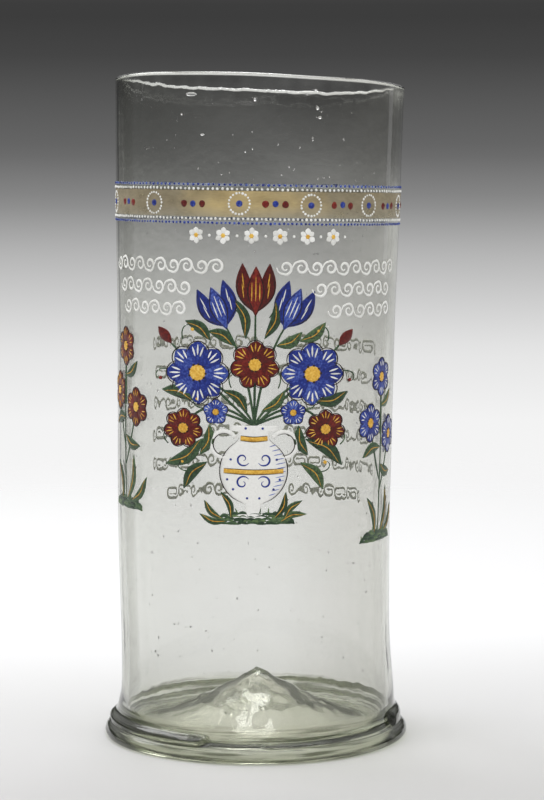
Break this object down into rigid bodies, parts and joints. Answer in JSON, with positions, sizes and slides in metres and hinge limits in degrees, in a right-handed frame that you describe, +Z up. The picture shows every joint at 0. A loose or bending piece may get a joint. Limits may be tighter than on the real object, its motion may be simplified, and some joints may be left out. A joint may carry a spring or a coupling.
{
  "type": "enamelled drinking glass",
  "caption": "Tall near-cylindrical blown drinking glass with kicked-up base, trailed foot, gilded band with enamel pearls, and painted enamel flowers and flourishes.",
  "frame": {"origin": "on the table, under the middle of the foot", "axes": "+Z up along the glass's axis; the painted front faces -Y, with +X to its right"},
  "size_m": [0.1374, 0.1374, 0.294],
  "materials": {
    "glass": "clear, faintly grey-green blown glass with small seeds",
    "gilding": "thin worn gilding",
    "white_enamel": "glossy opaque enamel",
    "blue_enamel": "glossy opaque enamel",
    "red_enamel": "glossy opaque enamel",
    "green_enamel": "glossy translucent enamel",
    "yellow_enamel": "glossy opaque enamel"
  },
  "bodies": {
    "root": {"vessel": "glass", "foot_ring": "glass", "foot_trail": "glass", "gilt_band": "gilding", "white_pearls_upper": "white_enamel", "white_pearls_lower": "white_enamel", "blue_pearls_upper": "blue_enamel", "blue_pearls_lower": "blue_enamel", "medallion_pearls": "white_enamel", "medallion_eyes": "blue_enamel", "red_drops": "red_enamel", "blue_drops": "blue_enamel", "daisy_row": "white_enamel", "flourishes_left": "white_enamel", "flourishes_right": "white_enamel", "flourishes_back": "white_enamel", "vase": "white_enamel", "vase_hoops": "yellow_enamel", "ground": "green_enamel", "stems": "green_enamel", "leaves": "green_enamel", "blue_flowers": "blue_enamel", "red_flowers": "red_enamel", "flower_hearts": "yellow_enamel", "left_ground": "green_enamel", "left_leaves": "green_enamel", "left_flowers": "red_enamel", "right_ground": "green_enamel", "right_leaves": "green_enamel", "right_flowers": "blue_enamel"}
  },
  "joints": []
}
